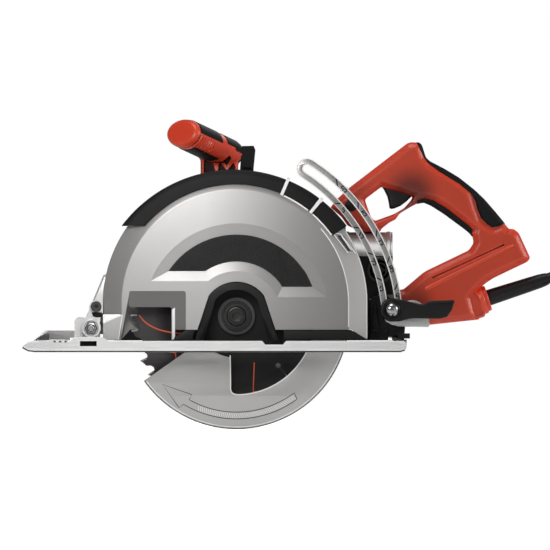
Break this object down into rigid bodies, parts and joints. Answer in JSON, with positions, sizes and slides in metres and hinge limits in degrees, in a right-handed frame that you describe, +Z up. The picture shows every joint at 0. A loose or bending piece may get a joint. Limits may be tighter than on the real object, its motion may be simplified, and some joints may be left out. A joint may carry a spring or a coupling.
{
  "type": "worm drive circular saw",
  "caption": "Corded worm drive circular saw with round upper guard, swinging lower guard, toothed blade, tilting shoe, slotted depth bracket, closed rear handle and a leaning front grip.",
  "frame": {"origin": "on the shoe's underside, below the arbor, in the blade's middle plane", "axes": "+X from the shoe's nose to the cord, +Y from the blade to the motor, +Z up from the shoe"},
  "size_m": [0.7145, 0.22, 0.2973],
  "materials": {
    "guard_grey": "satin",
    "black_rubber": "matte",
    "black_metal": "satin",
    "black_plastic": "satin",
    "red_plastic": "satin",
    "housing_metal": "satin",
    "shoe_metal": "brushed",
    "steel": "satin",
    "dark_steel": "satin",
    "chrome": "polished",
    "brass": "satin",
    "copper": "satin",
    "iron": "matte",
    "carbon": "matte",
    "blade_coat": "satin",
    "carbide": "satin",
    "cord_rubber": "satin"
  },
  "bodies": {
    "saw_body": {"upper_guard": "guard_grey", "rim_pads": "black_rubber", "guard_skirt": "black_plastic", "arch_liner": "black_plastic", "guard_mesh": "black_metal", "gear_housing": "housing_metal", "gear_cover": "housing_metal", "cover_screws": "dark_steel", "guard_screws": "dark_steel", "oil_plug": "brass", "drive_bearings": "steel", "motor_housing": "housing_metal", "motor_stator": "iron", "brush_panel": "black_plastic", "brush_caps": "black_plastic", "carbon_brushes": "carbon", "clamp_bolt": "steel", "rear_handle_left": "red_plastic", "rear_handle_right": "red_plastic", "handle_overmold": "black_rubber", "grip_underpad": "black_rubber", "switch_body": "black_plastic", "handle_screws": "dark_steel", "front_handle": "red_plastic", "front_handle_pad": "black_rubber", "front_handle_screws": "dark_steel", "cord_collar": "red_plastic", "cord_boot": "cord_rubber", "cord": "cord_rubber", "cord_coil": "cord_rubber", "coil_tie": "black_rubber", "plug_body": "cord_rubber", "plug_blades": "brass", "pivot_arm": "housing_metal", "pivot_screws": "steel", "guard_spring": "steel"},
    "arbor": {"spindle": "steel", "worm_wheel": "brass", "inner_washer": "dark_steel", "outer_washer": "dark_steel", "arbor_bolt": "dark_steel", "blade": "blade_coat", "carbide_tips": "carbide"},
    "motor_shaft": {"armature_shaft": "steel", "worm": "steel", "armature_core": "iron", "commutator": "copper", "fan": "black_plastic"},
    "lower_guard": {"lower_guard": "shoe_metal"},
    "lift_lever": {"lift_lever": "black_plastic"},
    "shoe_brackets": {"front_bracket": "housing_metal", "rear_bracket": "black_metal", "bevel_pins": "steel"},
    "depth_bracket": {"depth_bracket": "guard_grey"},
    "depth_lever": {"depth_lever": "black_plastic", "lever_cap": "chrome"},
    "bevel_lever": {"bevel_lever": "black_plastic"},
    "shoe": {"shoe": "shoe_metal"},
    "trigger": {"trigger": "black_plastic"},
    "lock_button": {"lock_button": "black_plastic"}
  },
  "joints": [
    {"name": "blade_spin", "type": "hinge", "parent": "saw_body", "child": "arbor", "pos_m": [0, 0, 0.0345], "axis": [0, 1, 0], "continuous": true},
    {"name": "motor_spin", "type": "hinge", "parent": "saw_body", "child": "motor_shaft", "pos_m": [0, 0.062, 0.0785], "axis": [1, 0, 0], "continuous": true},
    {"name": "lower_guard_swing", "type": "hinge", "parent": "saw_body", "child": "lower_guard", "pos_m": [0, 0, 0.0345], "axis": [0, -1, 0], "range_deg": [0, 126], "stiffness_Nm_per_rad": 0.35, "springref_deg": -45.84},
    {"name": "lift_lever_swing", "type": "hinge", "parent": "saw_body", "child": "lift_lever", "pos_m": [0, 0.019, 0.0345], "axis": [0, -1, 0], "range_deg": [0, 63]},
    {"name": "depth", "type": "hinge", "parent": "saw_body", "child": "shoe_brackets", "pos_m": [-0.139, 0, 0.023], "axis": [0, 1, 0], "range_deg": [0, 29]},
    {"name": "depth_bracket_swing", "type": "hinge", "parent": "shoe_brackets", "child": "depth_bracket", "pos_m": [0.168, 0.007, 0.032], "axis": [0, 1, 0], "range_deg": [0, 9.3]},
    {"name": "depth_lever_turn", "type": "hinge", "parent": "saw_body", "child": "depth_lever", "pos_m": [0.149, 0, 0.0405], "axis": [0, -1, 0], "range_deg": [0, 80]},
    {"name": "bevel", "type": "hinge", "parent": "shoe_brackets", "child": "shoe", "pos_m": [0, -0.02, 0.009], "axis": [-1, 0, 0], "range_deg": [0, 45]},
    {"name": "bevel_lever_turn", "type": "hinge", "parent": "shoe_brackets", "child": "bevel_lever", "pos_m": [0.158, -0.02, 0.009], "axis": [1, 0, 0], "range_deg": [-60, 0]},
    {"name": "trigger_press", "type": "hinge", "parent": "saw_body", "child": "trigger", "pos_m": [0.141, 0.062, 0.165], "axis": [0, -1, 0], "range_deg": [0, 8], "stiffness_Nm_per_rad": 0.6, "springref_deg": -20.05},
    {"name": "lock_button_press", "type": "slide", "parent": "saw_body", "child": "lock_button", "axis": [1, 0, 0], "range_m": [0, 0.005], "stiffness_N_per_m": 800, "springref_m": -0.004}
  ],
  "couplings": [
    {"joint": "motor_spin", "follows": "blade_spin", "ratio": -5.25},
    {"joint": "lift_lever_swing", "follows": "lower_guard_swing", "ratio": 0.5},
    {"joint": "depth_bracket_swing", "follows": "depth", "ratio": 0.32}
  ]
}
